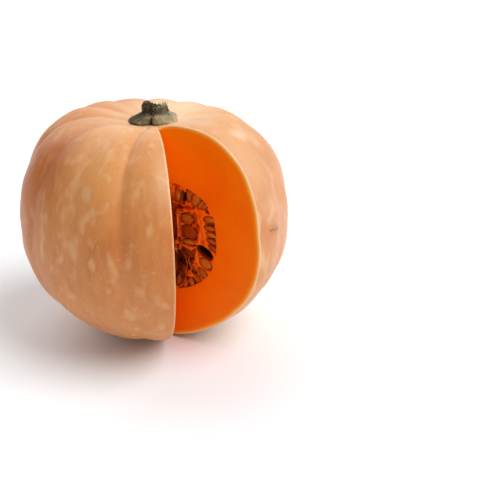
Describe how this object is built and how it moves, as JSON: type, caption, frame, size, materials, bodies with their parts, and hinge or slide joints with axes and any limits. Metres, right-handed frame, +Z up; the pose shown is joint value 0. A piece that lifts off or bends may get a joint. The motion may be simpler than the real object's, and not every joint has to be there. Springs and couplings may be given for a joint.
{
  "type": "kabocha squash with a wedge cut out",
  "caption": "Round tan winter squash with shallow lobes and a corky stem, one wedge cut out to show orange flesh and a seed cavity; stands on its flat base.",
  "frame": {"origin": "on the surface the squash rests on, under its core axis", "axes": "+Z up along the core axis, -Y out through the middle of the notch, +X to the right of the notch"},
  "size_m": [0.1935, 0.1888, 0.1728],
  "materials": {
    "rind": "satin",
    "flesh": "satin",
    "pulp_and_seeds": "satin",
    "stem": "matte"
  },
  "bodies": {
    "root": {"rind": "rind", "flesh": "flesh", "pulp_and_seeds": "pulp_and_seeds", "stem": "stem"}
  },
  "joints": []
}
